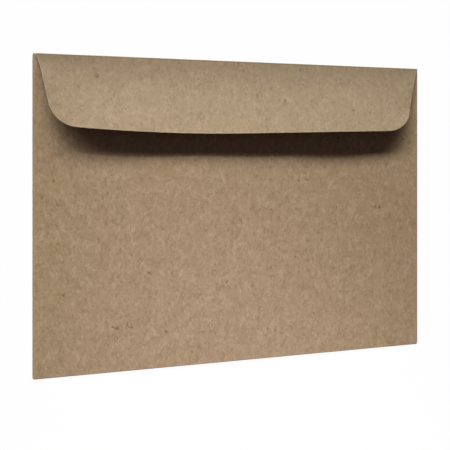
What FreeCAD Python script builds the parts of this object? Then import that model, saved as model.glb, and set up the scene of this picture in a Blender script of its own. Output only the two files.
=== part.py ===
import FreeCAD, Part
import enum
import math
import os

import Sketcher
from FreeCAD import Vector

# An unsealed booklet envelope of brown recycled paper, lying on its face with the closure flap up.
# It is one die-cut sheet: a face panel with four panels folded off its edges. The two side flaps
# fold in first, the back panel folds up over them and is glued down to them, and the closure flap
# folds over last and stands a little off the back panel.
# X runs along the envelope's long side, Y from the bottom fold to the closure flap's fold and Z up
# from the surface it lies on. The origin is the middle of the footprint, on that surface.

# Every size is in millimetres, and every angle in degrees.
SIZES = [
    ("envelope_width", 304.8, "long side, fold to fold"),
    ("envelope_height", 228.6, "short side, bottom fold to flap fold"),
    ("paper_thickness", 0.17, "one layer of paper"),
    ("side_fold_radius", 0.2, "inside radius of the pressed side folds"),
    ("flap_fold_clearance", 0.5, "room between the back panel and the closure flap at its fold"),
    ("corner_nick", 0.5, "how far the side folds stop short of the two cross folds"),
    ("side_flap_width", 22.0, "width of each side flap"),
    ("side_flap_bevel", 12.0, "how far the side flap's ends run back"),
    ("glue_line", 0.02, "how far the glued seam sinks into the side flap"),
    ("back_inset", 0.8, "back panel's cut edge, in from the side fold"),
    ("back_top_drop", 1.6, "back panel's highest edge, below the flap fold"),
    ("back_rise", 0.9, "how far the back panel bows up at mid height"),
    ("mouth_rise", 0.6, "how far the back panel bows up at the mouth"),
    ("throat_depth", 25.0, "mouth's straight edge, below the flap fold"),
    ("throat_shoulder", 16.0, "mouth's upper corner, in from the side fold"),
    ("throat_slant", 38.0, "lean of the mouth's sides from upright"),
    ("throat_corner_radius", 9.0, "rounding at the foot of the mouth's sides"),
    ("flap_depth", 55.5, "closure flap, from its fold to its lowest point"),
    ("flap_left_inset", 2.1, "flap's root, in from the left side fold"),
    ("flap_right_inset", 0.4, "flap's root, in from the right side fold"),
    ("flap_root_slant", 24.6, "lean of the flap's sides at the fold"),
    ("flap_side_slant", 12.1, "lean of the flap's straight sides"),
    ("flap_shoulder_radius", 64.0, "hollow curve between those two leans"),
    ("flap_corner_radius", 21.5, "round corners of the flap"),
    ("flap_bow_radius", 1190.0, "shallow bow of the flap's lower edge"),
    ("flap_low_point_shift", 28.0, "lowest point of that bow, left of the middle"),
    ("flap_tail_slope", 1.45, "rise of the straight stretch right of the bow"),
    ("flap_lift", 1.5, "flap's lean off the back panel at the fold"),
    ("flap_edge_lift", 9.0, "flap's lean from the end of its curl to its lower edge"),
    ("flap_curl_length", 26.0, "how far from the fold the flap goes on curling up"),
]

# Heights and reaches that follow from the sizes, as expressions over the sheet.
T = "Sizes.paper_thickness"
HALF_WIDTH = "Sizes.envelope_width / 2"
HALF_HEIGHT = "Sizes.envelope_height / 2"
SIDE_OUTER = f"(Sizes.side_fold_radius + {T})"
SIDE_FLAP_Z = f"({T} + 2 * Sizes.side_fold_radius)"
BACK_Z = f"({SIDE_FLAP_Z} + {T} - Sizes.glue_line)"
BOTTOM_INNER = f"(({BACK_Z} - {T}) / 2)"
BOTTOM_OUTER = f"({BOTTOM_INNER} + {T})"
FLAP_INNER = f"(({BACK_Z} + Sizes.flap_fold_clearance) / 2)"
FLAP_OUTER = f"({FLAP_INNER} + {T})"
# where the face panel's flat ends and each of its folds begins
FACE_SIDE = f"({HALF_WIDTH} - {SIDE_OUTER})"
FACE_LOW = f"(-{HALF_HEIGHT} + {BOTTOM_OUTER})"
FACE_HIGH = f"({HALF_HEIGHT} - {FLAP_OUTER})"
# the flap's lean grows by so much over the curl that it follows a circle of this radius
CURL = "(Sizes.flap_curl_length / ((Sizes.flap_edge_lift - Sizes.flap_lift) * pi / 180))"
BACK_HALF = f"({HALF_WIDTH} - Sizes.back_inset)"
BACK_TOP = f"({HALF_HEIGHT} - Sizes.back_top_drop)"


class EdgePoint(enum.IntEnum):
    """The points of an edge that a size can hold."""

    START = 1
    END = 2
    CENTRE = 3


START, END, CENTRE = EdgePoint


def make_sheet(doc):
    sheet = doc.addObject("Spreadsheet::Sheet", "Sizes")
    for row, (alias, value, note) in enumerate(SIZES, start=1):
        sheet.set(f"A{row}", alias.replace("_", " "))
        sheet.set(f"B{row}", str(value))
        sheet.setAlias(f"B{row}", alias)
        sheet.set(f"C{row}", note)
    doc.recompute()
    return sheet


class Drawing:
    """A sketch of one body on one of its origin planes, whose sizes are bound to the sheet."""

    def __init__(self, body, name, plane, offset=None):
        self.sketch = body.newObject("Sketcher::SketchObject", name)
        planes = {o.Role: o for o in body.Origin.OriginFeatures}
        self.sketch.AttachmentSupport = [(planes[plane], "")]
        self.sketch.MapMode = "FlatFace"
        if offset:
            self.sketch.setExpression("AttachmentOffset.Base.z", offset)
        self.named = 0

    def value(self, expression):
        """What an expression over the sheet comes to now."""
        return float(self.sketch.evalExpression(expression))

    def bind(self, expression, kind, *where, angle=False):
        """Adds one constraint whose size is the expression."""
        start = self.value(expression)
        start = math.radians(start) if angle else start
        index = self.sketch.addConstraint(Sketcher.Constraint(kind, *where, start))
        self.named += 1
        name = f"size{self.named}"
        self.sketch.renameConstraint(index, name)
        unit = " * 1 deg" if angle else ""
        self.sketch.setExpression(f"Constraints.{name}", f"({expression}){unit}")

    def place(self, edge, point, x, y):
        """Holds a point of an edge at two coordinates."""
        self.bind(x, "DistanceX", edge, point)
        self.bind(y, "DistanceY", edge, point)

    def line(self, start, end):
        return self.sketch.addGeometry(Part.LineSegment(Vector(*start), Vector(*end)), False)

    def arc(self, centre, radius, start, end):
        """An arc that turns anticlockwise from one angle to the other."""
        circle = Part.Circle(Vector(*centre), Vector(0, 0, 1), radius)
        arc = Part.ArcOfCircle(circle, math.radians(start), math.radians(end))
        return self.sketch.addGeometry(arc, False)

    def join(self, one, one_end, other, other_end, kind="Coincident"):
        self.sketch.addConstraint(Sketcher.Constraint(kind, one, one_end, other, other_end))

    def ring(self, x, y, inner, outer):
        """The left half of a ring: paper turning through 180 degrees about the point x, y."""
        centre = (self.value(x), self.value(y))
        big = self.arc(centre, self.value(outer), 90, 270)
        small = self.arc(centre, self.value(inner), 90, 270)
        self.place(big, CENTRE, x, y)
        self.join(small, CENTRE, big, CENTRE)
        self.bind(outer, "Radius", big)
        self.bind(inner, "Radius", small)
        for end in (START, END):
            cap = self.line(self.at(small, end), self.at(big, end))
            self.join(cap, START, small, end)
            self.join(cap, END, big, end)
            self.sketch.addConstraint(Sketcher.Constraint("Vertical", cap))
            self.sketch.addConstraint(Sketcher.Constraint("Vertical", big, end, big, CENTRE))

    def at(self, edge, point):
        spot = self.sketch.getPoint(edge, point)
        return (spot.x, spot.y)

    def polygon(self, corners):
        """A closed outline of straight edges through corners given as pairs of expressions."""
        spots = [(self.value(x), self.value(y)) for x, y in corners]
        edges = [self.line(a, b) for a, b in zip(spots, spots[1:] + spots[:1])]
        for edge, following in zip(edges, edges[1:] + edges[:1]):
            self.join(edge, END, following, START)
        for edge, (x, y) in zip(edges, corners):
            self.place(edge, START, x, y)
        return edges


def pad(body, name, sketch, length, midplane=False, reverse=False):
    feature = body.newObject("PartDesign::Pad", name)
    feature.Profile = sketch
    feature.setExpression("Length", length)
    feature.Midplane = midplane
    feature.Reversed = reverse
    sketch.Visibility = False
    return feature


def cut_through(body, name, sketch):
    feature = body.newObject("PartDesign::Pocket", name)
    feature.Profile = sketch
    feature.Type = "ThroughAll"
    feature.Midplane = True
    return feature


def make_face(doc):
    """The face panel, its two pressed side folds and the side flaps that they turn in."""
    body = doc.addObject("PartDesign::Body", "face_and_side_flaps")
    panel = Drawing(body, "face_outline", "XY_Plane")
    panel.polygon(
        [
            (f"-{FACE_SIDE}", FACE_LOW),
            (FACE_SIDE, FACE_LOW),
            (FACE_SIDE, FACE_HIGH),
            (f"-{FACE_SIDE}", FACE_HIGH),
        ]
    )
    pad(body, "face_panel", panel.sketch, T)

    foot = f"({FACE_LOW} + Sizes.corner_nick)"
    head = f"({FACE_HIGH} - Sizes.corner_nick)"
    fold = Drawing(body, "side_fold_section", "XZ_Plane", offset=f"-{foot}")
    fold.ring(f"-{FACE_SIDE}", SIDE_OUTER, "Sizes.side_fold_radius", SIDE_OUTER)
    folded = pad(body, "side_fold", fold.sketch, f"{head} - {foot}", reverse=True)

    inner = f"(-{FACE_SIDE} + Sizes.side_flap_width)"
    flap = Drawing(body, "side_flap_outline", "XY_Plane", offset=SIDE_FLAP_Z)
    flap.polygon(
        [
            (f"-{FACE_SIDE}", foot),
            (inner, f"{foot} + Sizes.side_flap_bevel"),
            (inner, f"{head} - Sizes.side_flap_bevel"),
            (f"-{FACE_SIDE}", head),
        ]
    )
    flapped = pad(body, "side_flap", flap.sketch, T)

    mirrored = body.newObject("PartDesign::Mirrored", "right_side_fold_and_flap")
    mirrored.Originals = [folded, flapped]
    planes = {o.Role: o for o in body.Origin.OriginFeatures}
    mirrored.MirrorPlane = (planes["YZ_Plane"], [""])
    body.Tip = mirrored
    return body


def back_section(body, name, y, rise=None):
    """The back panel's section at one height: flat over the glued seams, bowed up between them."""
    drawing = Drawing(body, name, "XZ_Plane", offset=f"-({y})")
    seam = f"({BACK_HALF} - Sizes.side_flap_width)"
    half_chord = drawing.value(seam)

    def bridge(level):
        """The edge from seam to seam, drawn from the right: an arc, or straight where there is no bow."""
        if rise is None:
            return drawing.line((half_chord, level), (-half_chord, level))
        height = drawing.value(rise)
        radius = (half_chord**2 + height**2) / (2 * height)
        swing = math.degrees(math.asin(half_chord / radius))
        bow = drawing.arc((0, level + height - radius), radius, 90 - swing, 90 + swing)
        drawing.bind(f"({seam}^2 + ({rise})^2) / (2 * {rise})", "Radius", bow)
        return bow

    def strip(z):
        level = drawing.value(z)
        outer = drawing.value(BACK_HALF)
        left = drawing.line((-outer, level), (-half_chord, level))
        middle = bridge(level)
        right = drawing.line((half_chord, level), (outer, level))
        drawing.place(left, START, f"-{BACK_HALF}", z)
        drawing.place(left, END, f"-{seam}", z)
        drawing.place(right, START, seam, z)
        drawing.place(right, END, BACK_HALF, z)
        drawing.join(middle, END, left, END)
        drawing.join(middle, START, right, START)
        return left, right

    lower_left, lower_right = strip(BACK_Z)
    upper_left, upper_right = strip(f"({BACK_Z} + {T})")
    for one, other, end in ((lower_left, upper_left, START), (lower_right, upper_right, END)):
        cap = drawing.line(drawing.at(one, end), drawing.at(other, end))
        drawing.join(cap, START, one, end)
        drawing.join(cap, END, other, end)
    return drawing.sketch


def mouth_outline(body):
    """What is cut from the back panel's top edge: slanted sides, round corners and a straight floor."""
    mouth = Drawing(body, "mouth_outline", "XY_Plane")
    top = f"({HALF_HEIGHT})"
    shoulder = f"({HALF_WIDTH} - Sizes.throat_shoulder)"
    foot = f"({HALF_HEIGHT} - Sizes.throat_depth)"
    run = f"({shoulder} - Sizes.throat_depth * tan(Sizes.throat_slant))"
    x_top, y_top = mouth.value(shoulder), mouth.value(top)
    x_foot, y_foot = mouth.value(run), mouth.value(foot)
    round_radius = mouth.value("Sizes.throat_corner_radius")
    slant = mouth.value("Sizes.throat_slant")
    # how far each round corner eats into the edges beside it
    bite = round_radius * math.tan(math.radians((90 - slant) / 2))
    lean = Vector(math.sin(math.radians(slant)), math.cos(math.radians(slant)), 0)
    lid = mouth.line((-x_top, y_top), (x_top, y_top))
    right = mouth.line((x_top, y_top), (x_foot + bite * lean.x, y_foot + bite * lean.y))
    floor = mouth.line((x_foot - bite, y_foot), (-x_foot + bite, y_foot))
    left = mouth.line((-x_foot - bite * lean.x, y_foot + bite * lean.y), (-x_top, y_top))
    centre = (x_foot - bite, y_foot + round_radius)
    right_round = mouth.arc(centre, round_radius, 270, 360 - slant)
    left_round = mouth.arc((-centre[0], centre[1]), round_radius, 180 + slant, 270)
    mouth.place(lid, START, f"-{shoulder}", top)
    mouth.place(lid, END, shoulder, top)
    mouth.join(lid, END, right, START)
    mouth.join(left, END, lid, START)
    mouth.join(right, END, right_round, END, "Tangent")
    mouth.join(right_round, START, floor, START, "Tangent")
    mouth.join(floor, END, left_round, END, "Tangent")
    mouth.join(left_round, START, left, START, "Tangent")
    for corner in (right_round, left_round):
        mouth.bind("Sizes.throat_corner_radius", "Radius", corner)
    mouth.bind(foot, "DistanceY", floor, START)
    mouth.sketch.addConstraint(Sketcher.Constraint("Horizontal", floor))
    mouth.bind("-90 - Sizes.throat_slant", "Angle", right, angle=True)
    mouth.bind("90 + Sizes.throat_slant", "Angle", left, angle=True)
    return mouth.sketch


def make_back(doc):
    """The bottom fold and the back panel, bowed up a little, with the mouth cut in its top edge."""
    body = doc.addObject("PartDesign::Body", "back_panel_and_bottom_fold")
    fold = Drawing(body, "bottom_fold_section", "YZ_Plane")
    fold.ring(FACE_LOW, BOTTOM_OUTER, BOTTOM_INNER, BOTTOM_OUTER)
    pad(body, "bottom_fold", fold.sketch, f"2 * {BACK_HALF}", midplane=True)

    loft = body.newObject("PartDesign::AdditiveLoft", "back_panel")
    sections = [
        back_section(body, "section_at_fold", FACE_LOW),
        back_section(body, "section_at_middle", "0", "Sizes.back_rise"),
        back_section(body, "section_at_mouth", BACK_TOP, "Sizes.mouth_rise"),
    ]
    loft.Profile = sections[0]
    loft.Sections = sections[1:]
    cut_through(body, "mouth", mouth_outline(body))
    return body


def flap_section(body):
    """The closure flap from the side: round the loose fold, up in a shallow curl, then off straight."""
    drawing = Drawing(body, "flap_section", "YZ_Plane")
    inner = drawing.value(FLAP_INNER)
    outer = drawing.value(FLAP_OUTER)
    curl = drawing.value(CURL)
    lift = drawing.value("Sizes.flap_lift")
    end = drawing.value("Sizes.flap_edge_lift")
    # the straight stretch runs on past the flap's lower edge, which the outline then cuts
    reach = drawing.value("Sizes.flap_depth")
    fold = (drawing.value(FACE_HIGH), outer)
    swing = f"({FLAP_OUTER} + {CURL})"
    above_y = f"({FACE_HIGH} + {swing} * sin(Sizes.flap_lift))"
    above_z = f"({FLAP_OUTER} + {swing} * cos(Sizes.flap_lift))"
    above = (drawing.value(above_y), drawing.value(above_z))

    def layer(fold_radius, curl_radius, fold_size, curl_size):
        """One face of the paper: the fold's arc, the curl's arc and the straight stretch."""
        turn = drawing.arc(fold, fold_radius, -90, 90 - lift)
        bend = drawing.arc(above, curl_radius, 270 - end, 270 - lift)
        start = drawing.at(bend, START)
        slope = math.radians(end)
        run = drawing.line(start, (start[0] - reach * math.cos(slope), start[1] + reach * math.sin(slope)))
        drawing.place(turn, CENTRE, FACE_HIGH, FLAP_OUTER)
        drawing.place(bend, CENTRE, above_y, above_z)
        drawing.bind(fold_size, "Radius", turn)
        drawing.join(turn, END, bend, END)
        drawing.bind(f"{FACE_HIGH} + {fold_size} * sin(Sizes.flap_lift)", "DistanceX", turn, END)
        drawing.bind(f"{above_y} - {curl_size} * sin(Sizes.flap_edge_lift)", "DistanceX", bend, START)
        drawing.join(bend, START, run, START)
        drawing.bind("180 - Sizes.flap_edge_lift", "Angle", run, angle=True)
        drawing.bind("Sizes.flap_depth", "Distance", run)
        drawing.bind(FACE_HIGH, "DistanceX", turn, START)
        return turn, run

    top_turn, top_run = layer(outer, curl, FLAP_OUTER, CURL)
    under_turn, under_run = layer(inner, curl + outer - inner, FLAP_INNER, f"({CURL} + {T})")
    root = drawing.line(drawing.at(under_turn, START), drawing.at(top_turn, START))
    tip = drawing.line(drawing.at(under_run, END), drawing.at(top_run, END))
    drawing.join(root, START, under_turn, START)
    drawing.join(root, END, top_turn, START)
    drawing.join(tip, START, under_run, END)
    drawing.join(tip, END, top_run, END)
    return drawing.sketch


def flap_outline(body):
    """What is cut away round the closure flap, seen from above: a frame with the flap's outline in it."""
    drawing = Drawing(body, "flap_outline", "XY_Plane")
    value = drawing.value
    # the frame that is cut away reaches past the paper on every side
    margin = "Sizes.flap_depth"
    left, right = f"(-{HALF_WIDTH} - {margin})", f"({HALF_WIDTH} + {margin})"
    low, high = f"({HALF_HEIGHT} - 3 * {margin})", f"({HALF_HEIGHT} + {margin})"
    drawing.polygon([(left, low), (right, low), (right, high), (left, high)])

    shoulder = value("Sizes.flap_shoulder_radius")
    corner = value("Sizes.flap_corner_radius")
    bow = value("Sizes.flap_bow_radius")
    root_slant = value("Sizes.flap_root_slant")
    slant = value("Sizes.flap_side_slant")
    slope = value("Sizes.flap_tail_slope")
    lid_y = f"({HALF_HEIGHT} + {margin} / 2)"
    bow_y = f"({HALF_HEIGHT} - Sizes.flap_depth + Sizes.flap_bow_radius)"
    bow_centre = (-value("Sizes.flap_low_point_shift"), value(bow_y))
    tilt, lean = math.radians(root_slant), math.radians(slant)

    def side(way, inset):
        """Edges of one side, drawn upwards: corner, straight side, shoulder and fold crossing."""
        root_x = f"({'-' if way < 0 else ''}({HALF_WIDTH} - {inset}))"
        root = (value(root_x), value(FACE_HIGH))
        pivot = (root[0] + way * shoulder * math.cos(tilt), root[1] - shoulder * math.sin(tilt))
        top = (pivot[0] - way * shoulder * math.cos(lean), pivot[1] + shoulder * math.sin(lean))
        # the corner starts close to its place, and then turns tangent to its neighbours
        drop = top[1] - (value(HALF_HEIGHT) - value("Sizes.flap_depth")) - corner
        foot = (top[0] - way * drop * math.tan(lean), top[1] - drop)
        centre = (foot[0] - way * corner * math.cos(lean), foot[1] + corner * math.sin(lean))
        if way < 0:
            curve = drawing.arc(pivot, shoulder, slant, root_slant)
            turn = drawing.arc(centre, corner, 180 + slant, 268)
        else:
            curve = drawing.arc(pivot, shoulder, 180 - root_slant, 180 - slant)
            turn = drawing.arc(centre, corner, 270 + slope, 360 - slant)
        straight = drawing.line(foot, top)
        across = drawing.line(root, (root[0], value(lid_y)))
        lower, upper = (START, END) if way < 0 else (END, START)
        drawing.place(curve, upper, root_x, FACE_HIGH)
        way_x = f"({root_x} + ({way}) * Sizes.flap_shoulder_radius * cos(Sizes.flap_root_slant))"
        way_y = f"({FACE_HIGH} - Sizes.flap_shoulder_radius * sin(Sizes.flap_root_slant))"
        drawing.place(curve, CENTRE, way_x, way_y)
        drawing.join(straight, END, curve, lower, "Tangent")
        drawing.join(straight, START, turn, lower, "Tangent")
        drawing.bind("Sizes.flap_corner_radius", "Radius", turn)
        drawing.bind(f"90 - ({way}) * Sizes.flap_side_slant", "Angle", straight, angle=True)
        drawing.join(across, START, curve, upper)
        drawing.place(across, END, root_x, lid_y)
        return turn, across

    left_turn, left_across = side(-1, "Sizes.flap_left_inset")
    right_turn, right_across = side(1, "Sizes.flap_right_inset")
    bowed = drawing.arc(bow_centre, bow, 266, 270 + slope)
    bow_end = drawing.at(bowed, END)
    tail = drawing.line(bow_end, drawing.at(right_turn, START))
    lid = drawing.line(drawing.at(left_across, END), drawing.at(right_across, END))
    drawing.place(bowed, CENTRE, "-Sizes.flap_low_point_shift", bow_y)
    drawing.bind("Sizes.flap_bow_radius", "Radius", bowed)
    drawing.join(left_turn, END, bowed, START, "Tangent")
    drawing.join(bowed, END, tail, START, "Tangent")
    drawing.join(tail, END, right_turn, START, "Tangent")
    drawing.bind("Sizes.flap_tail_slope", "Angle", tail, angle=True)
    drawing.join(lid, START, left_across, END)
    drawing.join(lid, END, right_across, END)
    return drawing.sketch


def make_flap(doc):
    """The closure flap with its fold, cut to its rounded outline."""
    body = doc.addObject("PartDesign::Body", "closure_flap")
    pad(body, "folded_strip", flap_section(body), "Sizes.envelope_width", midplane=True)
    cut_through(body, "cut_to_outline", flap_outline(body))
    return body


def make_envelope(doc):
    """The whole sheet: its three folded stretches in one piece, glued at the side seams."""
    envelope = doc.addObject("Part::MultiFuse", "envelope")
    envelope.Shapes = [make_face(doc), make_back(doc), make_flap(doc)]
    envelope.Refine = True
    envelope.Label = "envelope"
    return envelope


def check(doc, envelope):
    for item in doc.Objects:
        bad = [word for word in item.State if word in ("Invalid", "Error")]
        if bad:
            raise RuntimeError(f"{item.Name} failed: {bad}")
    for cut in doc.findObjects("PartDesign::Pocket"):
        if cut.Shape.Volume >= cut.BaseFeature.Shape.Volume:
            raise RuntimeError(f"{cut.Name} takes nothing away")
    shape = envelope.Shape
    if shape.isNull() or not shape.isValid() or len(shape.Solids) != 1:
        raise RuntimeError(f"the envelope is not one sound solid: {len(shape.Solids)}")
    return shape


def main():
    doc = FreeCAD.newDocument("paper_envelope")
    make_sheet(doc)
    envelope = make_envelope(doc)
    doc.recompute()
    shape = check(doc, envelope)
    os.makedirs("parts", exist_ok=True)
    shape.exportStep(f"parts/{envelope.Label}.step")
    box = shape.BoundBox
    print(f"volume {shape.Volume:.1f} mm3, size {box.XLength:.2f} x {box.YLength:.2f} x {box.ZLength:.2f}")


main()
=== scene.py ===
import math

import bmesh
import bpy
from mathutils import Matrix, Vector


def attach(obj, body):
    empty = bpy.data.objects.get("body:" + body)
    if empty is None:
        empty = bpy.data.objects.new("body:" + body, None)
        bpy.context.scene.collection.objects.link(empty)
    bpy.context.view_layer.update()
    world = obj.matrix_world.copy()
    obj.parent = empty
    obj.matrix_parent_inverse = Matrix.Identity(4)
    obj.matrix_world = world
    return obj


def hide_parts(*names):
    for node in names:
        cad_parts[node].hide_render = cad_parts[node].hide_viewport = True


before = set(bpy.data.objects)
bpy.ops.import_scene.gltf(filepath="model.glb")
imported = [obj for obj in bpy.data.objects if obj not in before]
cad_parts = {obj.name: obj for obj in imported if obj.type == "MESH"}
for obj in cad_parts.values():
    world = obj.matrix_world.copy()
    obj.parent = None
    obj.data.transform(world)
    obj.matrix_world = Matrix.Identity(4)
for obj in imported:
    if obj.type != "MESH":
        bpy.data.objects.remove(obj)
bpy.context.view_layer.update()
print("frame loaded")

mm = 0.001

# The folded sheet, in millimetres and degrees. Down to flapCurlLength it repeats the part's sizes.
sheet = {
    "halfWidth": 152.4,
    "halfHeight": 114.3,
    "thickness": 0.17,
    "sideFoldRadius": 0.285,  # to the middle of the paper, as are the other two
    "bottomFoldRadius": 0.36,
    "flapFoldRadius": 0.695,
    "cornerNick": 0.5,
    "sideFlapWidth": 22.0,
    "sideFlapBevel": 12.0,
    "backInset": 0.8,
    "backTopDrop": 1.6,
    "backRise": 0.9,
    "mouthRise": 0.6,
    "throatDepth": 25.0,
    "throatShoulder": 16.0,
    "throatSlant": 38.0,
    "throatCornerRadius": 9.0,
    "flapDepth": 55.5,
    "flapLeftInset": 2.1,
    "flapRightInset": 0.4,
    "flapRootSlant": 24.6,
    "flapSideSlant": 12.1,
    "flapShoulderRadius": 64.0,
    "flapCornerRadius": 21.5,
    "flapBowRadius": 1190.0,
    "flapLowPointShift": 28.0,
    "flapTailSlope": 1.45,
    "flapLift": 1.5,
    "flapEdgeLift": 9.0,
    "flapCurlLength": 26.0,
    "meshStep": 3.0,  # spacing of the mesh over the panels
    "creaseRows": 12,
    "cornerStep": 0.1,  # and over the flat corner beside the flap's root
    "creaseFade": 0.8,  # how far the creases' painted shade reaches into the panels
    "cutFade": 0.6,  # how far the cut edge's pale tone reaches in: loose fibres, and partly a painted highlight
    "sideCreaseTone": 0.22,  # shares of the closure fold's painted shade: on the side folds
    "besideFoldShade": 0.16,  # and right beside the closure fold
    "besideFoldReach": 1.2,
    # painted shade on the flap near the closure fold's ends: its share at places across the sheet
    "foldEndShade": [
        (-152, 0.34),
        (-134, 0.32),
        (-107, 0.15),
        (-80, 0.0),
        (85, 0.0),
        (100, 0.07),
        (137, 0.3),
        (152, 0.4),
    ],
    "foldEndShadeReach": 15.0,
    "bottomFoldWear": 0.6,  # share of a cut edge's pale tone that the bottom fold has
    # how far the flap's edge stands off its even lean, at places across the sheet
    "flapEdgeDrift": [
        (-152, 0.1),
        (-100, 0.3),
        (-35, -0.3),
        (16, 0.3),
        (76, 0.85),
        (115, 0.25),
        (152, -0.2),
    ],
    "flapEdgeDriftPower": 1.6,  # how late on the flap's depth that sets in
    # and how far its two sides do, at shares of their length
    "flapLeftDrift": [(0, 0), (0.35, 1.1), (1, 0)],
    "flapRightDrift": [(0, 0), (0.25, 0.5), (0.7, -0.8), (1, -0.2)],
    "flapSideReach": 0.16,  # share of the flap's width over which the sides' drift fades
    "backDipPlace": (78.0, 40.0),  # where the back panel sags a little
    "backDipReach": 38.0,
    "backDipDepth": 0.3,
    "waveHeight": 0.16,
    "waveLength": 95.0,
    "waveSeed": 4.0,
    "waveStart": 60.0,  # how far above the bottom fold the waves reach their full height
}

faceSide = sheet["halfWidth"] - sheet["sideFoldRadius"] - sheet["thickness"] / 2
faceLow = -sheet["halfHeight"] + sheet["bottomFoldRadius"] + sheet["thickness"] / 2
faceHigh = sheet["halfHeight"] - sheet["flapFoldRadius"] - sheet["thickness"] / 2
backHalf = sheet["halfWidth"] - sheet["backInset"]
backTop = sheet["halfHeight"] - sheet["backTopDrop"]
seam = backHalf - sheet["sideFlapWidth"]  # the back panel is glued flat outside this
sideArc = math.pi * sheet["sideFoldRadius"]
bottomArc = math.pi * sheet["bottomFoldRadius"]
flapTurn = math.pi - math.radians(sheet["flapLift"])
flapArc = flapTurn * sheet["flapFoldRadius"]


def spaced(start, end, step):
    count = max(1, round(abs(end - start) / step))
    return [start + (end - start) * i / count for i in range(count + 1)]


def arcPoints(centre, radius, start, end, count=48):
    angles = [math.radians(a) for a in spaced(start, end, abs(end - start) / count)]
    return [(centre[0] + radius * math.cos(a), centre[1] + radius * math.sin(a)) for a in angles]


def spreadLine(start, end, count=40):
    # points between two ends, so that a straight edge follows the curl when laid flat
    return [
        (start[0] + (end[0] - start[0]) * i / count, start[1] + (end[1] - start[1]) * i / count)
        for i in range(1, count)
    ]


def pointAlong(line, fraction):
    # the point at a share of a line's length
    lengths = [math.dist(a, b) for a, b in zip(line, line[1:])]
    left = min(max(fraction, 0.0), 1.0) * sum(lengths)
    for (a, b), length in zip(zip(line, line[1:]), lengths):
        if left <= length and length > 0:
            share = left / length
            return (a[0] + (b[0] - a[0]) * share, a[1] + (b[1] - a[1]) * share)
        left -= length
    return line[-1]


def between(marks, x):
    # a smooth height through given marks
    for (a, low), (b, high) in zip(marks, marks[1:]):
        if x <= b:
            share = min(max((x - a) / (b - a), 0.0), 1.0)
            return low + (high - low) * share * share * (3 - 2 * share)
    return marks[-1][1]


def throatLine():
    # the mouth's edge from its left upper corner to its right one, as seen from above
    s = sheet
    slant = math.radians(s["throatSlant"])
    shoulder = s["halfWidth"] - s["throatShoulder"]
    floorY = s["halfHeight"] - s["throatDepth"]
    topX = shoulder - s["backTopDrop"] * math.tan(slant)
    footX = shoulder - s["throatDepth"] * math.tan(slant)
    bite = s["throatCornerRadius"] * math.tan((math.pi / 2 - slant) / 2)
    centre = (footX - bite, floorY + s["throatCornerRadius"])
    right = arcPoints(centre, s["throatCornerRadius"], 270, 360 - s["throatSlant"], 16)
    left = [(-x, y) for x, y in reversed(right)]
    return [(-topX, backTop)] + left + right + [(topX, backTop)]


def flapReach(y):
    # how far along the paper, past the closure fold, a point seen at this height lies
    start = math.radians(sheet["flapLift"])
    end = math.radians(sheet["flapEdgeLift"])
    radius = sheet["flapCurlLength"] / (end - start)
    drop = faceHigh + sheet["flapFoldRadius"] * math.sin(start) - y
    curled = radius * (math.sin(end) - math.sin(start))
    if drop <= curled:
        return radius * (math.asin(drop / radius + math.sin(start)) - start)
    return sheet["flapCurlLength"] + (drop - curled) / math.cos(end)


def flapEdges():
    # the closure flap's left side, lower edge and right side, laid flat past the closure fold
    s = sheet
    bowCentre = (-s["flapLowPointShift"], s["halfHeight"] - s["flapDepth"] + s["flapBowRadius"])
    slope = math.radians(s["flapTailSlope"])
    bend = (
        bowCentre[0] + s["flapBowRadius"] * math.sin(slope),
        bowCentre[1] - s["flapBowRadius"] * math.cos(slope),
    )

    def aboveEdge(way, spot):
        # how far a point lies above the bow on the left, or above its straight tail on the right
        if way < 0:
            return s["flapBowRadius"] - math.dist(spot, bowCentre)
        return (spot[1] - bend[1]) * math.cos(slope) - (spot[0] - bend[0]) * math.sin(slope)

    def side(way, inset):
        # the curved shoulder below the root, and the round corner that meets the lower edge
        lean = math.radians(s["flapSideSlant"])
        tilt = math.radians(s["flapRootSlant"])
        root = (way * (s["halfWidth"] - inset), faceHigh)
        radius = s["flapShoulderRadius"]
        pivot = (root[0] + way * radius * math.cos(tilt), root[1] - radius * math.sin(tilt))
        shoulder = arcPoints((0, 0), radius, s["flapRootSlant"], s["flapSideSlant"])
        shoulder = [(pivot[0] - way * x, pivot[1] + y) for x, y in shoulder]
        top = shoulder[-1]
        low, high = 0.0, s["flapDepth"]
        for _ in range(50):
            drop = (low + high) / 2
            centre = (
                top[0] - way * (drop * math.sin(lean) + s["flapCornerRadius"] * math.cos(lean)),
                top[1] - drop * math.cos(lean) + s["flapCornerRadius"] * math.sin(lean),
            )
            if aboveEdge(way, centre) > s["flapCornerRadius"]:
                low = drop
            else:
                high = drop
        if way < 0:
            foot = math.atan2(centre[1] - bowCentre[1], centre[0] - bowCentre[0])
            ends = (180 + s["flapSideSlant"], math.degrees(foot) % 360)
        else:
            ends = (360 - s["flapSideSlant"], 270 + s["flapTailSlope"])
        return shoulder, arcPoints(centre, s["flapCornerRadius"], *ends)

    leftShoulder, leftCorner = side(-1, s["flapLeftInset"])
    rightShoulder, rightCorner = side(1, s["flapRightInset"])
    startAngle = math.degrees(
        math.atan2(leftCorner[-1][1] - bowCentre[1], leftCorner[-1][0] - bowCentre[0])
    )
    bow = arcPoints(bowCentre, s["flapBowRadius"], startAngle % 360, 270 + s["flapTailSlope"], 120)
    half = len(leftCorner) // 2
    left = leftShoulder + leftCorner[: half + 1]
    tail = spreadLine(bow[-1], rightCorner[-1])
    lower = leftCorner[half:] + bow[1:] + tail + rightCorner[half:][::-1]
    right = rightShoulder + rightCorner[: half + 1]
    flat = faceHigh + flapArc
    return [[(x, flat + flapReach(y)) for x, y in line] for line in (left, lower, right)]


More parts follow.
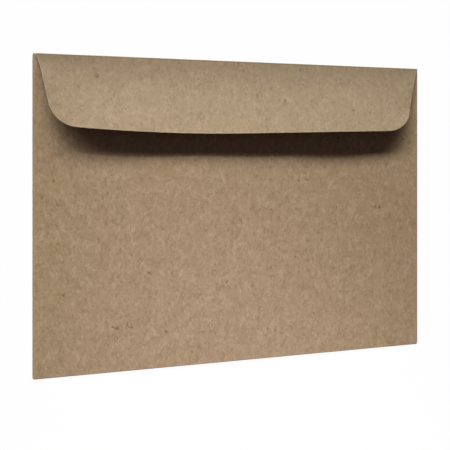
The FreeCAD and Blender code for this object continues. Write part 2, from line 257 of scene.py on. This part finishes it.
def makeBlank():
    # the whole die-cut sheet laid flat, the outside of the paper facing down
    s = sheet
    step, fade, cut = s["meshStep"], s["creaseFade"], s["cutFade"]
    throat = throatLine()
    throatX = throat[-1][0]
    left, lower, right = flapEdges()
    flapLeft, flapRight = left[0][0], right[0][0]
    marks = [-faceSide, -backHalf, -backHalf + cut, flapLeft, flapLeft + cut, -throatX, -seam]
    marks += [seam, throatX, backHalf - cut, backHalf, flapRight, faceSide]
    xLines = [marks[0]]
    for a, b in zip(marks, marks[1:]):
        xLines += spaced(a, b, step)[1:]
    foot, head = faceLow + s["cornerNick"], faceHigh - s["cornerNick"]
    yLines = [faceLow] + spaced(foot, head, step) + [faceHigh]

    bm = bmesh.new()
    names = ("wearAndEdgeHighlight", "creaseShade", "give", "bow", "flapShare")
    layers = {n: bm.verts.layers.float.new(n) for n in names}

    def addPatch(rows):
        # a row is a list of (x, y, creaseShade, give, bow, flapShare); shared borders are merged
        # below
        grid = []
        for row in rows:
            grid.append([])
            for x, y, creaseShade, give, bow, flapShare in row:
                vert = bm.verts.new((x * mm, y * mm, s["thickness"] / 2 * mm))
                values = {"creaseShade": creaseShade, "give": give, "bow": bow, "flapShare": flapShare}
                for name, value in values.items():
                    vert[layers[name]] = value
                grid[-1].append(vert)
        for lowRow, highRow in zip(grid, grid[1:]):
            for i in range(len(lowRow) - 1):
                bm.faces.new((lowRow[i], lowRow[i + 1], highRow[i + 1], highRow[i]))

    # face panel, with its creases' painted shade along its top and its two sides
    def faceCrease(x, y):
        if y == yLines[-1]:
            return 1.0
        return s["sideCreaseTone"] if abs(x) > faceSide - 0.01 else 0.0

    addPatch([[(x, y, faceCrease(x, y), 0, 0, 0) for x in xLines] for y in yLines])

    # beside the flap the face runs on flat to the fold's outer line, so its turn is taken back
    radius = s["flapFoldRadius"]
    rows = []
    for v in spaced(0, radius * math.pi / 2, s["cornerStep"]):
        bow = radius * (math.cos(v / radius) - 1) * mm
        rows.append([(x, faceHigh + v, 0, 0, bow, 0) for x in xLines if x <= flapLeft + 1e-6])
    addPatch(rows)

    # side flaps, with bevelled ends
    columns = spaced(0, sideArc, sideArc / s["creaseRows"])
    inner = sideArc + s["sideFlapWidth"]
    columns += spaced(sideArc + fade, inner - cut, step) + [inner]
    for way in (-1, 1):
        rows = []
        for y in yLines[1:-1]:
            share = (y - foot) / (head - foot)
            endY = foot + s["sideFlapBevel"] + share * (head - foot - 2 * s["sideFlapBevel"])
            rows.append([])
            for u in columns:
                t = max(0.0, (u - sideArc) / s["sideFlapWidth"])
                # painted shade along the side crease
                creaseShade = s["sideCreaseTone"] if u <= sideArc + 1e-6 else 0.0
                rows[-1].append((way * (faceSide + u), y + (endY - y) * t, creaseShade, 0, 0, 0))
        addPatch(rows)

    # bottom crease and back panel, up to the mouth
    def riseAt(y):
        # nothing at the fold, the full rise at mid height and a little less at the mouth
        middle = (y - faceLow) * (y - backTop) / (faceLow * backTop)
        mouth = (y - faceLow) * y / ((backTop - faceLow) * backTop)
        return s["backRise"] * middle + s["mouthRise"] * mouth

    backLines = [x for x in xLines if abs(x) <= backHalf + 1e-6]
    creaseLines = spaced(0, bottomArc, bottomArc / s["creaseRows"])
    rows = [[(x, faceLow - v, 0, 0, 0, 0) for x in backLines] for v in creaseLines]
    tops = []
    for x in backLines:
        if abs(x) >= throatX - 1e-6:
            tops.append((x, backTop))
        else:
            tops.append(pointAlong(throat, (x + throatX) / (2 * throatX)))
    height = backTop - faceLow
    for share in spaced(fade / height, 1 - cut / height, step / height) + [1.0]:
        rows.append([])
        for x, (topX, topY) in zip(backLines, tops):
            px = x + (topX - x) * share
            py = faceLow + (topY - faceLow) * share
            across = max(0.0, 1 - (px / seam) ** 2)
            give = across**0.5 * min(1.0, (py - faceLow) / s["waveStart"])
            away = math.dist((px, py), s["backDipPlace"]) / s["backDipReach"]
            dip = s["backDipDepth"] * math.exp(-(away**2))
            lift = (riseAt(py) - dip) * across
            rows[-1].append((px, 2 * faceLow - bottomArc - py, 0.0, give, lift * mm, 0))
    addPatch(rows)

    # closure crease and flap: its four sides blended across
    flapLines = [x for x in xLines if flapLeft - 1e-6 <= x <= flapRight + 1e-6]
    creaseLines = spaced(0, flapArc, flapArc / s["creaseRows"])
    # painted shade over the closure crease
    rows = [[(x, faceHigh + v, 1.0, 0, 0, 0) for x in flapLines] for v in creaseLines]
    base = faceHigh + flapArc
    depth = s["flapDepth"]
    for w in spaced(fade / depth, 1 - cut / depth, step / depth) + [1.0]:
        rows.append([])
        a, b = pointAlong(left, w), pointAlong(right, w)
        for x in flapLines:
            u = (x - flapLeft) / (flapRight - flapLeft)
            c = pointAlong(lower, u)
            spot = []
            for k, low in ((0, x), (1, base)):
                corners = (1 - u) * (1 - w) * left[0][k] + u * (1 - w) * right[0][k]
                corners += (1 - u) * w * left[-1][k] + u * w * right[-1][k]
                spot.append((1 - w) * low + w * c[k] + (1 - u) * a[k] + u * b[k] - corners)
            nearLeft = max(0.0, 1 - u / s["flapSideReach"]) ** 2
            nearRight = max(0.0, 1 - (1 - u) / s["flapSideReach"]) ** 2
            drift = between(s["flapEdgeDrift"], spot[0]) * w ** s["flapEdgeDriftPower"]
            drift += between(s["flapLeftDrift"], w) * nearLeft
            drift += between(s["flapRightDrift"], w) * nearRight
            # painted shade right beside the closure fold and towards its ends
            nearFold = math.exp(-((w * depth / s["foldEndShadeReach"]) ** 2))
            creaseShade = s["besideFoldShade"] * math.exp(-w * depth / s["besideFoldReach"])
            creaseShade += between(s["foldEndShade"], spot[0]) * nearFold
            rows[-1].append((spot[0], spot[1], creaseShade, w * w, drift * mm, w))
    addPatch(rows)

    bmesh.ops.remove_doubles(bm, verts=bm.verts, dist=1e-6)
    bmesh.ops.recalc_face_normals(bm, faces=bm.faces)
    if sum(f.normal.z * f.calc_area() for f in bm.faces) > 0:
        bmesh.ops.reverse_faces(bm, faces=bm.faces)
    # pale cut edges and bottom fold; along the cut edges this is partly a painted highlight
    for vert in bm.verts:
        onBottom = faceLow - bottomArc - 0.01 < vert.co.y / mm < faceLow + 0.01
        bottomWear = s["bottomFoldWear"] if onBottom else 0.0
        vert[layers["wearAndEdgeHighlight"]] = 1.0 if vert.is_boundary else bottomWear
    mesh = bpy.data.meshes.new("paperEnvelope")
    bm.to_mesh(mesh)
    bm.free()
    flat = mesh.attributes.new("flatPlace", "FLOAT_VECTOR", "POINT")
    for vert, spot in zip(mesh.vertices, flat.data):
        spot.vector = vert.co
    return mesh


def addNode(tree, kind, links=(), **settings):
    # links go by number in a list or by name in a dictionary; a node stands for its first output
    node = tree.nodes.new(kind)
    for name, value in settings.items():
        setattr(node, name, value)
    for key, value in links.items() if isinstance(links, dict) else enumerate(links):
        if isinstance(value, bpy.types.Node):
            value = value.outputs[0]
        if isinstance(value, bpy.types.NodeSocket):
            tree.links.new(value, node.inputs[key])
        elif value is not None:
            node.inputs[key].default_value = value
    return node


def makeFoldGroup():
    # turns the paper beyond a crease: round the crease's arc, along a fading curl, then straight on
    tree = bpy.data.node_groups.new("foldAboutCrease", "GeometryNodeTree")
    vector, number = "NodeSocketVector", "NodeSocketFloat"
    names = (("Place", vector), ("Across", vector), ("Crease", number), ("Radius", number))
    names += (("Turn", number), ("Curl", number), ("Curl length", number))
    for name, kind in names:
        tree.interface.new_socket(name=name, in_out="INPUT", socket_type=kind)
    tree.interface.new_socket(name="Place", in_out="OUTPUT", socket_type=vector)
    given = addNode(tree, "NodeGroupInput").outputs
    math1, vectorMath = "ShaderNodeMath", "ShaderNodeVectorMath"

    dot = addNode(tree, vectorMath, [given["Place"], given["Across"]], operation="DOT_PRODUCT")
    past = addNode(tree, math1, [dot.outputs["Value"], given["Crease"]], operation="SUBTRACT")
    beyond = addNode(tree, math1, [past, 0.0], operation="MAXIMUM")
    arc = addNode(tree, math1, [given["Radius"], given["Turn"]], operation="MULTIPLY")
    onArc = addNode(tree, math1, [beyond, arc], operation="MINIMUM")
    swing = addNode(tree, math1, [onArc, given["Radius"]], operation="DIVIDE")
    swingSine = addNode(tree, math1, [swing], operation="SINE")
    swingCosine = addNode(tree, math1, [swing], operation="COSINE")
    arcAlong = addNode(tree, math1, [swingSine, given["Radius"]], operation="MULTIPLY")
    arcDrop = addNode(tree, math1, [1.0, swingCosine], operation="SUBTRACT")

    rest = addNode(tree, math1, [beyond, onArc], operation="SUBTRACT")
    curled = addNode(tree, math1, [rest, given["Curl length"]], operation="MINIMUM")
    straight = addNode(tree, math1, [rest, curled], operation="SUBTRACT")
    curlShare = addNode(tree, math1, [curled, given["Curl length"]], operation="DIVIDE")
    unturn = addNode(tree, math1, [curlShare, given["Curl"]], operation="MULTIPLY")
    # an arc of paper leans by half its turn, and its chord is shorter by a 24th of the turn squared
    square = addNode(tree, math1, [unturn, unturn], operation="MULTIPLY")
    shortening = addNode(tree, math1, [square, -1 / 24, 1.0], operation="MULTIPLY_ADD")
    chord = addNode(tree, math1, [curled, shortening], operation="MULTIPLY")
    chordLean = addNode(tree, math1, [unturn, -0.5, given["Turn"]], operation="MULTIPLY_ADD")
    straightLean = addNode(tree, math1, [given["Turn"], unturn], operation="SUBTRACT")

    along = addNode(tree, math1, [arcAlong, beyond], operation="SUBTRACT")
    up = addNode(tree, math1, [arcDrop, given["Radius"]], operation="MULTIPLY")
    for length, lean in ((chord, chordLean), (straight, straightLean)):
        cosine = addNode(tree, math1, [lean], operation="COSINE")
        sine = addNode(tree, math1, [lean], operation="SINE")
        along = addNode(tree, math1, [length, cosine, along], operation="MULTIPLY_ADD")
        up = addNode(tree, math1, [length, sine, up], operation="MULTIPLY_ADD")
    shift = addNode(tree, vectorMath, {0: given["Across"], "Scale": along}, operation="SCALE")
    lift = addNode(tree, "ShaderNodeCombineXYZ", {"Z": up})
    moved = addNode(tree, vectorMath, [shift, lift], operation="ADD")
    placed = addNode(tree, vectorMath, [given["Place"], moved], operation="ADD")
    addNode(tree, "NodeGroupOutput", [placed])
    return tree


def makeFoldingTree():
    # folds the flat blank: the side flaps, the back panel and then the closure flap
    tree = bpy.data.node_groups.new("foldEnvelope", "GeometryNodeTree")
    tree.interface.new_socket(name="Geometry", in_out="INPUT", socket_type="NodeSocketGeometry")
    numbers = ["Side crease", "Side fold radius", "Bottom crease", "Bottom fold radius"]
    numbers += ["Closure crease", "Closure fold radius", "Closure turn", "Closure curl"]
    numbers += ["Curl length", "Wave height", "Wave length", "Wave seed"]
    for name in numbers:
        tree.interface.new_socket(name=name, in_out="INPUT", socket_type="NodeSocketFloat")
    tree.interface.new_socket(name="Paper", in_out="INPUT", socket_type="NodeSocketMaterial")
    tree.interface.new_socket(name="Geometry", in_out="OUTPUT", socket_type="NodeSocketGeometry")
    given = addNode(tree, "NodeGroupInput").outputs
    fold = makeFoldGroup()

    place = addNode(tree, "GeometryNodeInputPosition")
    flat = (math.pi, 0.0, 1.0)  # turned right over, with no curl after the crease
    flapShape = (given["Closure turn"], given["Closure curl"], given["Curl length"])
    creases = (
        ((-1, 0, 0), "Side", flat),
        ((1, 0, 0), "Side", flat),
        ((0, -1, 0), "Bottom", flat),
        ((0, 1, 0), "Closure", flapShape),
    )
    for across, crease, (turn, curl, curlLength) in creases:
        links = {"Place": place, "Across": across, "Crease": given[crease + " crease"]}
        links.update({"Radius": given[crease + " fold radius"], "Turn": turn})
        links.update({"Curl": curl, "Curl length": curlLength})
        place = addNode(tree, "GeometryNodeGroup", links, node_tree=fold)

    # the loose middle of the back panel bows up, and all free paper is a little wavy
    named = "GeometryNodeInputNamedAttribute"
    bow = addNode(tree, named, {"Name": "bow"}, data_type="FLOAT")
    give = addNode(tree, named, {"Name": "give"}, data_type="FLOAT")
    blank = addNode(tree, named, {"Name": "flatPlace"}, data_type="FLOAT_VECTOR")
    scale = addNode(tree, "ShaderNodeMath", [1.0, given["Wave length"]], operation="DIVIDE")
    wave = addNode(
        tree,
        "ShaderNodeTexNoise",
        {"Vector": blank, "W": given["Wave seed"], "Scale": scale, "Detail": 1.0, "Roughness": 0.4},
        noise_dimensions="4D",
    )
    centred = addNode(tree, "ShaderNodeMath", [wave.outputs[0], 0.5], operation="SUBTRACT")
    doubled = addNode(tree, "ShaderNodeMath", [centred, 2.0], operation="MULTIPLY")
    tall = addNode(tree, "ShaderNodeMath", [doubled, given["Wave height"]], operation="MULTIPLY")
    lift = addNode(tree, "ShaderNodeMath", [tall, give, bow], operation="MULTIPLY_ADD")
    offset = addNode(tree, "ShaderNodeCombineXYZ", {"Z": lift})
    links = {"Geometry": given["Geometry"], "Position": place, "Offset": offset}
    moved = addNode(tree, "GeometryNodeSetPosition", links)
    real = addNode(tree, "GeometryNodeRealizeInstances", [moved])
    links = {"Geometry": real, "Material": given["Paper"]}
    painted = addNode(tree, "GeometryNodeSetMaterial", links)
    addNode(tree, "NodeGroupOutput", [painted])
    return tree


def linear(colour):
    # an sRGB hex value as a linear colour with alpha
    parts = [int(colour[i : i + 2], 16) / 255 for i in (1, 3, 5)]
    return [c / 12.92 if c <= 0.04045 else ((c + 0.055) / 1.055) ** 2.4 for c in parts] + [1.0]


# Brown recycled paper: unbleached pulp pressed and dried on a wire, uncoated, so it is matt, cloudy
# at a centimetre, grained along the run of the sheet and full of short light and dark fibres.
paper = {
    "shade": "#9F8766",
    "middle": "#AC9372",
    "light": "#B89F7E",
    "flapShade": "#7D7E6E",  # painted shade: the closure flap's paper is mixed a shade greyer and darker than the body's
    "flapShadeShare": 0.25,
    "flapShadeFringe": 0.05,  # share of the flap's depth over which that sets in
    # paler broken fibres at a cut, which along the edges also stand for a painted highlight
    "cutEdge": "#C9B697",
    "bendShare": 0.6,  # how much of the cut edge's pale tone, partly a painted highlight, shows on the panels beside it
    # painted shade in the creases, beside the closure fold and at its ends
    "creaseShade": "#716650",
    "creaseShadeShare": 0.8,
    "gum": "#A89A6E",
    "gumShare": 0.55,
    "gumBand": (0.50, 0.88),  # shares of the flap's depth
    "gumFringe": 0.015,  # share of it over which the band's two edges fade
    "cloudSize": 11.0,  # mm
    "grainSize": 2.4,  # mm; paper's grain is finer, this is as coarse as shows
    "grainStretch": 1.5,
    "grainShare": 0.45,  # the rest is cloud
    "insideShift": 570.0,  # mm along the pattern, so that the inside has its own
    "roughness": 0.88,
    "gloss": 0.15,  # cellulose shines at its IOR of 1.5, but open fibres scatter most of that
    "relief": 0.015,  # mm
    "fibreCore": 0.3,  # share of a fibre's width that has its full tone
    "fibrePatch": 0.8,  # scale of the noise that breaks the lines up, to that of their bends
    "fibreFringe": 0.06,  # how softly a fibre ends there
    "fibreShift": ((61.0, 37.0), (17.0, 5.0)),  # of each sort's pattern to the next, and the first
    "patchShift": (13.0, 29.0, 7.0),  # of the breaks' pattern to the lines
}

# Each sort of fibre: size of its bends in mm, its width, how rare it is, its tone and strength.
# Real ones are 1 to 3 mm long and far finer than they are drawn here, as coarse as they show.
fibres = {
    "pale": (3.6, 0.075, 0.50, "#CDB699", 0.28),
    "paleFine": (2.2, 0.080, 0.53, "#C8B092", 0.27),
    "brown": (3.2, 0.070, 0.51, "#755D44", 0.27),
    "brownFine": (2.0, 0.080, 0.54, "#7A6249", 0.29),
    "dark": (5.0, 0.050, 0.655, "#4C3A2A", 0.60),
}


def makePaper(name, inside=False, cut=False):
    material = bpy.data.materials.new(name)
    material.use_nodes = True
    tree = material.node_tree
    tree.nodes.clear()
    p = paper
    attribute, mapping = "ShaderNodeAttribute", "ShaderNodeMapping"
    noise, mapRange, math1 = "ShaderNodeTexNoise", "ShaderNodeMapRange", "ShaderNodeMath"
    flat = addNode(tree, attribute, attribute_name="flatPlace").outputs["Vector"]

    # in millimetres, once drawn out along the run of the sheet and once even
    blank = {"Vector": flat, "Location": (p["insideShift"] if inside else 0.0, 0.0, 0.0)}
    run = addNode(tree, mapping, {**blank, "Scale": (1000, 1000 / p["grainStretch"], 1000)})
    even = addNode(tree, mapping, {**blank, "Scale": (1000, 1000, 1000)})
    cloudy = {"Vector": even, "Scale": 1 / p["cloudSize"], "Detail": 4.0, "Roughness": 0.6}
    grained = {"Vector": run, "Scale": 1 / p["grainSize"], "Detail": 2.0, "Roughness": 0.6}
    cloud = addNode(tree, noise, cloudy)
    grain = addNode(tree, noise, grained)
    shares = {0: p["grainShare"], 2: cloud.outputs[0], 3: grain.outputs[0]}
    both = addNode(tree, "ShaderNodeMix", shares, data_type="FLOAT")
    ramp = addNode(tree, "ShaderNodeValToRGB", [both])
    darkEnd, lightEnd = ramp.color_ramp.elements
    darkEnd.position, darkEnd.color = 0.25, linear(p["shade"])
    lightEnd.position, lightEnd.color = 0.75, linear(p["light"])
    ramp.color_ramp.elements.new(0.5).color = linear(p["middle"])

    # what lies over that, from below: how much of it and its tone
    layers = []

    # fibres lie along the thin winding lines on which a noise passes its middle, in short stretches
    (stepX, stepY), (startX, startY) = p["fibreShift"]
    for turn, (size, width, rare, tone, strength) in enumerate(fibres.values()):
        place = (stepX * turn + startX, stepY * turn + startY, 0.0)
        moved = addNode(tree, mapping, {"Vector": run, "Location": place})
        winding = {"Vector": moved, "Scale": 1 / size, "Detail": 1.5, "Roughness": 0.5}
        hills = addNode(tree, noise, winding)
        away = addNode(tree, math1, [hills.outputs[0], 0.5], operation="SUBTRACT")
        near = addNode(tree, math1, [away], operation="ABSOLUTE")
        line = addNode(tree, mapRange, [near, width * p["fibreCore"], width, 1.0, 0.0])
        beside = addNode(tree, mapping, {"Vector": moved, "Location": p["patchShift"]})
        patches = {"Vector": beside, "Scale": p["fibrePatch"] / size}
        patches.update({"Detail": 2.0, "Roughness": 0.6})
        where = addNode(tree, noise, patches).outputs[0]
        some = addNode(tree, mapRange, [where, rare, rare + p["fibreFringe"], 0.0, strength])
        layers.append((addNode(tree, math1, [line, some], operation="MULTIPLY"), tone))

    onFlap = addNode(tree, attribute, attribute_name="flapShare").outputs["Fac"]
    if inside:
        # the band of dried gum across the flap's lower part
        (low, high), fringe = p["gumBand"], p["gumFringe"]
        start = addNode(tree, mapRange, [onFlap, low, low + fringe, 0.0, p["gumShare"]])
        end = addNode(tree, mapRange, [onFlap, high, high + fringe, 1.0, 0.0])
        layers.append((addNode(tree, math1, [start, end], operation="MULTIPLY"), p["gum"]))

    # the flap's painted shade covers its fibres a little
    flapShading = addNode(tree, mapRange, [onFlap, 0.0, p["flapShadeFringe"], 0.0, p["flapShadeShare"]])
    layers.append((flapShading, p["flapShade"]))

    # painted shade in and beside the creases and at the closure fold's ends; paler broken fibres at
    # a cut and at the bottom fold, which along the cut edges also paint a highlight
    creaseShade = addNode(tree, attribute, attribute_name="creaseShade").outputs["Fac"]
    creaseShade = addNode(tree, math1, [creaseShade, p["creaseShadeShare"]], operation="MULTIPLY")
    layers.append((creaseShade, p["creaseShade"]))
    wearAndEdgeHighlight = addNode(tree, attribute, attribute_name="wearAndEdgeHighlight").outputs["Fac"]
    wearAndEdgeHighlight = addNode(tree, math1, [wearAndEdgeHighlight, 1.0 if cut else p["bendShare"]], operation="MULTIPLY")
    layers.append((wearAndEdgeHighlight, p["cutEdge"]))

    colour = ramp.outputs[0]
    for amount, tone in layers:
        links = {"Factor": amount, "A": colour, "B": linear(tone)}
        colour = addNode(tree, "ShaderNodeMix", links, data_type="RGBA").outputs["Result"]

    height = {"Strength": 1.0, "Distance": p["relief"] * mm, "Height": both.outputs[0]}
    relief = addNode(tree, "ShaderNodeBump", height)
    finish = {"Base Color": colour, "Roughness": p["roughness"], "Normal": relief}
    finish.update({"IOR": 1.5, "Specular IOR Level": p["gloss"]})
    shader = addNode(tree, "ShaderNodeBsdfPrincipled", finish)
    addNode(tree, "ShaderNodeOutputMaterial", {"Surface": shader})
    return material


def makeEnvelope():
    s = sheet
    mesh = makeBlank()
    print("blank laid out:", len(mesh.polygons), "faces")
    outside = makePaper("brownRecycledPaper")
    mesh.materials.append(outside)
    mesh.materials.append(makePaper("brownRecycledPaperInside", inside=True))
    mesh.materials.append(makePaper("cutPaperEdge", cut=True))
    flatSheet = bpy.data.objects.new("flatSheet", mesh)
    bpy.context.scene.collection.objects.link(flatSheet)
    tree = makeFoldingTree()
    values = {
        "Side crease": faceSide * mm,
        "Bottom crease": -faceLow * mm,
        "Closure crease": faceHigh * mm,
        "Side fold radius": s["sideFoldRadius"] * mm,
        "Bottom fold radius": s["bottomFoldRadius"] * mm,
        "Closure fold radius": s["flapFoldRadius"] * mm,
        "Closure turn": flapTurn,
        "Closure curl": math.radians(s["flapEdgeLift"] - s["flapLift"]),
        "Curl length": s["flapCurlLength"] * mm,
        "Wave height": s["waveHeight"] * mm,
        "Wave length": s["waveLength"] * mm,
        "Wave seed": s["waveSeed"],
        "Paper": outside,
    }
    folding = flatSheet.modifiers.new("folding", "NODES")
    folding.node_group = tree
    for item in tree.interface.items_tree:
        if item.in_out == "INPUT" and item.name in values:
            folding[item.identifier] = values[item.name]
    wall = flatSheet.modifiers.new("thickness", "SOLIDIFY")
    wall.thickness = s["thickness"] * mm
    wall.offset = 0.0
    wall.material_offset = 1
    wall.material_offset_rim = 2
    bpy.context.view_layer.update()
    graph = bpy.context.evaluated_depsgraph_get()
    folded = bpy.data.meshes.new_from_object(flatSheet.evaluated_get(graph))
    bpy.data.objects.remove(flatSheet)
    folded.name = "envelopeSheet"
    folded.shade_smooth()
    folded.set_sharp_from_angle(angle=math.radians(50))
    piece = bpy.data.objects.new("envelopeSheet", folded)
    bpy.context.scene.collection.objects.link(piece)
    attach(piece, "root")
    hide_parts("envelope")
    print("envelope folded:", len(folded.polygons), "faces")


# A white studio table, lit low from beyond the closure fold by a wide strip lamp, and by a flat
# beam from the same side that brightens the envelope's lower half.
studio = {
    "lampDistance": 5.0,  # m, of both lamps
    "keyHeight": 17.6,  # degrees above the table
    "keyBearing": -10.0,  # degrees round from straight beyond the fold; less than 0 is to the left
    "keyWide": 100.0,  # degrees that it spans from side to side
    "keyTall": 8.5,  # and from top to bottom
    "keyPower": 800.0,  # W
    "beamHeight": 18.5,
    "beamBearing": -20.0,
    "beamAim": (30.0, -240.0),  # mm, its middle on the table; it fades out towards the fold
    "beamReach": 120.0,  # mm, half its height, square to the beam
    "beamFlatness": 1.7,  # how many times wider it is than high
    "beamSource": 0.045,  # m, radius of the lamp
    "beamPower": 1340.0,
    "beamColour": (0.88, 0.845, 1.0),  # faintly violet, as the photograph is towards the bottom
    "fill": (0.055, 0.040, 0.044),  # dim light from all round
    "floorRadius": 4.0,  # m
    "floorDrop": 0.03,  # mm below the envelope, so that their faces don't coincide
    "floorTone": 0.8,  # share of the light that it throws back
    "floorWhite": 0.97,  # its own share of white where it is seen; the lamps give the rest
}


def placeLamp(name, lamp, height, bearing, aim=(0.0, 0.0)):
    height, bearing = math.radians(height), math.radians(bearing)
    level = math.cos(height)
    toLamp = Vector((math.sin(bearing) * level, math.cos(bearing) * level, math.sin(height)))
    holder = bpy.data.objects.new(name, lamp)
    holder.rotation_euler = toLamp.to_track_quat("Z", "Y").to_euler()
    holder.location = toLamp * studio["lampDistance"] + Vector((*aim, 0.0)) * mm
    bpy.context.scene.collection.objects.link(holder)
    return holder


def seenDirectly(tree):
    # 1 for the camera and for what mirrors or glass show it, and 0 for light on the object
    path = addNode(tree, "ShaderNodeLightPath").outputs
    rays = [path["Is Camera Ray"], path["Is Glossy Ray"]]
    rays = [addNode(tree, "ShaderNodeMath", rays, operation="ADD"), path["Is Transmission Ray"]]
    return addNode(tree, "ShaderNodeMath", rays, operation="ADD", use_clamp=True)


def makeStudio():
    st = studio
    distance = st["lampDistance"]
    key = bpy.data.lights.new("keyLamp", "AREA")
    key.shape = "ELLIPSE"
    key.energy = st["keyPower"]
    key.size = 2 * distance * math.tan(math.radians(st["keyWide"] / 2))
    key.size_y = 2 * distance * math.tan(math.radians(st["keyTall"] / 2))
    placeLamp("keyLamp", key, st["keyHeight"], st["keyBearing"])

    beam = bpy.data.lights.new("beamLamp", "SPOT")
    beam.energy = st["beamPower"]
    beam.color = st["beamColour"]
    beam.shadow_soft_size = st["beamSource"]
    beam.spot_size = 2 * math.atan(st["beamReach"] * mm / distance)
    beam.spot_blend = 1.0
    beamLamp = placeLamp("beamLamp", beam, st["beamHeight"], st["beamBearing"], st["beamAim"])
    beamLamp.scale = (st["beamFlatness"], 1.0, 1.0)

    # white to the camera and in reflections, and a dim even fill otherwise
    world = bpy.data.worlds.new("studio")
    world.use_nodes = True
    tree = world.node_tree
    tree.nodes.clear()
    links = {"Factor": seenDirectly(tree), "A": (*st["fill"], 1), "B": (1, 1, 1, 1)}
    sky = addNode(tree, "ShaderNodeMix", links, data_type="RGBA").outputs["Result"]
    light = addNode(tree, "ShaderNodeBackground", {"Color": sky, "Strength": 1.0})
    addNode(tree, "ShaderNodeOutputWorld", {"Surface": light})
    bpy.context.scene.world = world

    # the floor: matt white, and brightened to white where it is seen, but for the object's shadow
    bm = bmesh.new()
    bmesh.ops.create_circle(bm, cap_ends=True, segments=96, radius=st["floorRadius"])
    for vert in bm.verts:
        vert.co.z = -st["floorDrop"] * mm
    mesh = bpy.data.meshes.new("floor")
    bm.to_mesh(mesh)
    bm.free()
    material = bpy.data.materials.new("mattWhiteTable")
    material.use_nodes = True
    tree = material.node_tree
    tree.nodes.clear()
    diffuse = "ShaderNodeBsdfDiffuse"
    glow = {"Color": (1, 1, 1, 1), "Strength": st["floorWhite"]}
    table = addNode(tree, diffuse, {"Color": (st["floorTone"],) * 3 + (1,)})
    faint = addNode(tree, diffuse, {"Color": (1 - st["floorWhite"],) * 3 + (1,)})
    white = addNode(tree, "ShaderNodeAddShader", [faint, addNode(tree, "ShaderNodeEmission", glow)])
    mixed = addNode(tree, "ShaderNodeMixShader", [seenDirectly(tree), table, white])
    addNode(tree, "ShaderNodeOutputMaterial", {"Surface": mixed})
    mesh.materials.append(material)
    floor = bpy.data.objects.new("floor", mesh)
    bpy.context.scene.collection.objects.link(floor)
    print("studio lit")


# The camera looks down on the envelope from above its left half, as the photograph does.
view = {
    "lens": 47.3,  # mm
    "sensor": 36.0,
    "shiftY": -0.1587,
    "place": (-128.3, 43.9, 434.7),  # mm
    "lean": -14.87,  # degrees, to the right
}


def makeCamera():
    camera = bpy.data.cameras.new("camera")
    camera.sensor_width = view["sensor"]
    camera.lens = view["lens"]
    camera.shift_y = view["shiftY"]
    camera.clip_start = 0.01
    camera.clip_end = 50.0
    viewer = bpy.data.objects.new("camera", camera)
    viewer.location = Vector(view["place"]) * mm
    viewer.rotation_euler = (0.0, math.radians(view["lean"]), 0.0)
    bpy.context.scene.collection.objects.link(viewer)
    bpy.context.scene.camera = viewer


makeEnvelope()
makeStudio()
makeCamera()
bpy.context.scene.view_settings.view_transform = "Standard"
